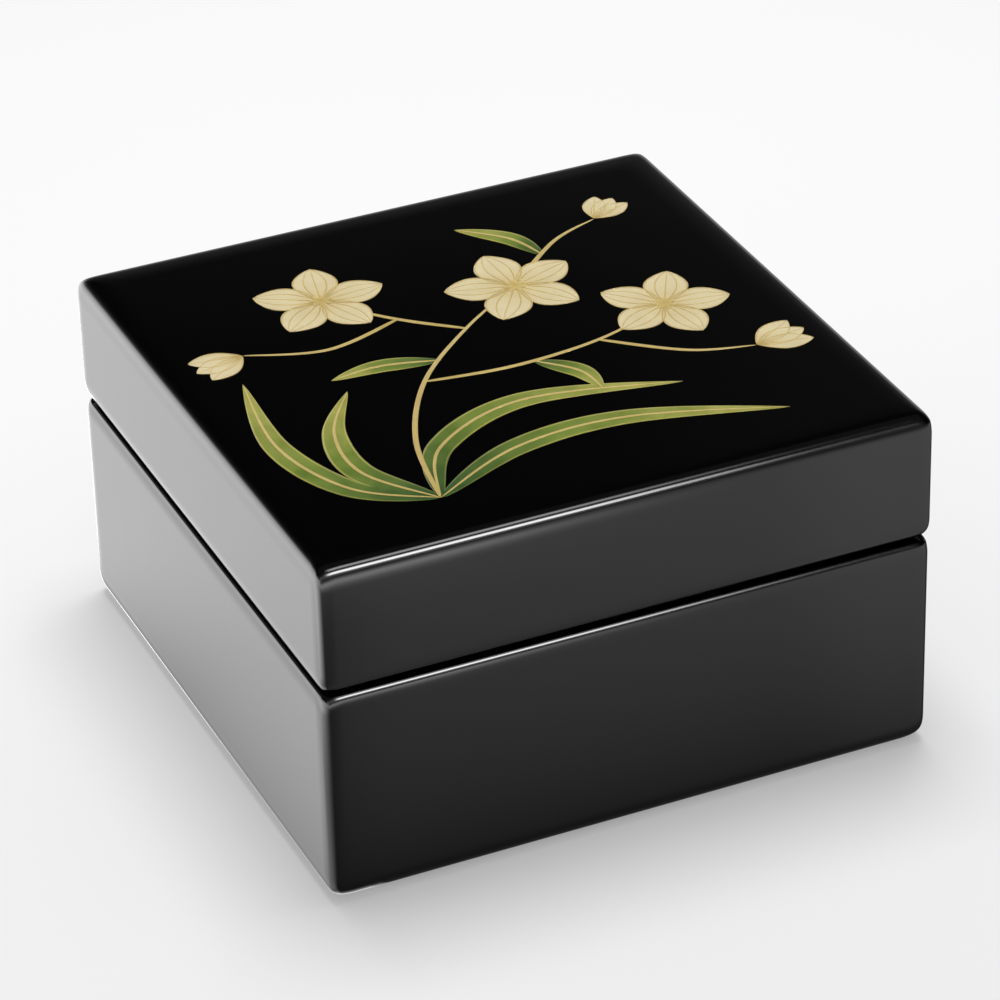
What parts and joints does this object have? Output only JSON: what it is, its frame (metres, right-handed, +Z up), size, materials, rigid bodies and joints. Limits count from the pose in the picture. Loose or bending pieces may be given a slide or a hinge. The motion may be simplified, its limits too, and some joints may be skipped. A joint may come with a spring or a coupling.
{
  "type": "lacquered square box",
  "caption": "Square black lacquer box with rounded edges and a flush lift-off lid that seats over a raised inner lip.",
  "frame": {"origin": "middle of the underside, on the plane that the box stands on", "axes": "+Z up, +X to the right along the front wall, -Y out of the front wall"},
  "size_m": [0.12, 0.12, 0.07],
  "materials": {
    "black_lacquer": "high-gloss black lacquer over wood",
    "bare_wood": "planed, unfinished",
    "gold_paint": "satin gold powder set in lacquer",
    "petal_paint": "cream lacquer paint",
    "leaf_paint": "green lacquer paint"
  },
  "bodies": {
    "case": {"case_bottom_panel": "black_lacquer", "case_wall_front": "black_lacquer", "case_wall_right": "black_lacquer", "case_wall_back": "black_lacquer", "case_wall_left": "black_lacquer", "inner_lip_front": "black_lacquer", "inner_lip_right": "black_lacquer", "inner_lip_back": "black_lacquer", "inner_lip_left": "black_lacquer", "case_spline_lower_front_right": "bare_wood", "case_spline_lower_back_right": "bare_wood", "case_spline_lower_back_left": "bare_wood", "case_spline_lower_front_left": "bare_wood", "case_spline_upper_front_right": "bare_wood", "case_spline_upper_back_right": "bare_wood", "case_spline_upper_back_left": "bare_wood", "case_spline_upper_front_left": "bare_wood"},
    "lid": {"lid_top_panel": "black_lacquer", "lid_wall_front": "black_lacquer", "lid_wall_right": "black_lacquer", "lid_wall_back": "black_lacquer", "lid_wall_left": "black_lacquer", "lid_spline_front_right": "bare_wood", "lid_spline_back_right": "bare_wood", "lid_spline_back_left": "bare_wood", "lid_spline_front_left": "bare_wood"}
  },
  "joints": [
    {"name": "lid_lift", "type": "slide", "parent": "case", "child": "lid", "axis": [0, 0, 1], "range_m": [0, 0.06]}
  ]
}
